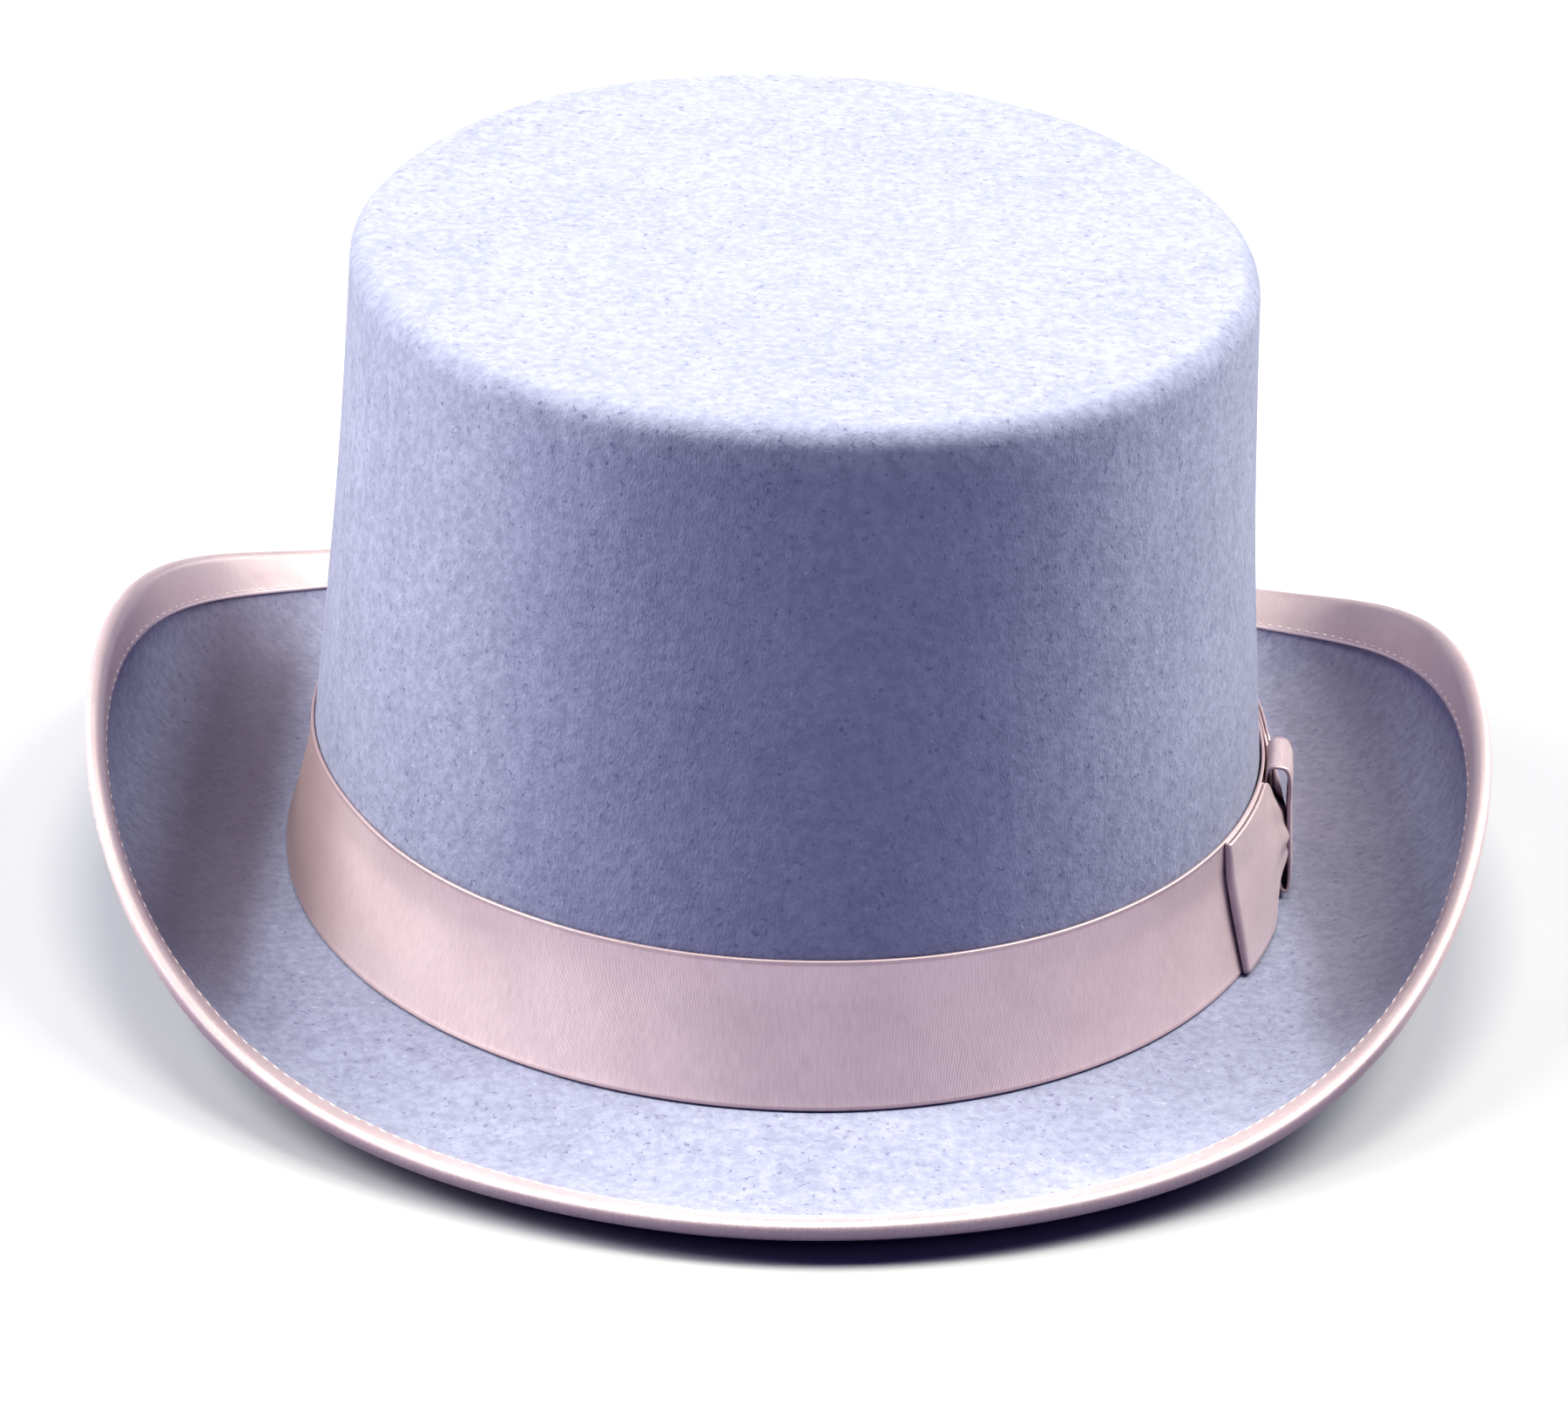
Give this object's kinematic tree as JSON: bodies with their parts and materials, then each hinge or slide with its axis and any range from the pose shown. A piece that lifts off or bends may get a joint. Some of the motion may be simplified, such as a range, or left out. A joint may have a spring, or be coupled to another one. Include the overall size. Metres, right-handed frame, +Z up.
{
  "type": "top hat",
  "caption": "Low felt top hat with a flat tip, a brim curled up at the sides, a ribbon-bound edge, a ribbon band with a flat side bow, a leather sweatband and a satin lining.",
  "frame": {"origin": "middle of the hat in plan, on the surface that it stands on", "axes": "+Z up through the tip, -Y towards the front of the hat, +X towards the wearer's left, where the bow is"},
  "size_m": [0.246, 0.2922, 0.1185],
  "materials": {
    "felt": "matt blocked wool felt, finely mottled",
    "ribbon": "satin-faced ribbon with fine cross ribs",
    "wire": "millinery wire",
    "leather": "smooth thin sweatband leather",
    "reed": "flexible reed cased in woven tape",
    "inner_ribbon": "narrow grosgrain",
    "lining": "lining satin",
    "piping": "corded satin piping"
  },
  "bodies": {
    "root": {"felt_body": "felt", "brim_wire": "wire", "brim_binding": "ribbon", "hatband": "ribbon", "bow_front_loop": "ribbon", "bow_rear_loop": "ribbon", "bow_knot": "ribbon", "sweatband": "leather", "sweatband_reed": "reed", "sweatband_bow": "inner_ribbon", "lining_side": "lining", "lining_tip": "lining", "lining_piping": "piping"}
  },
  "joints": []
}
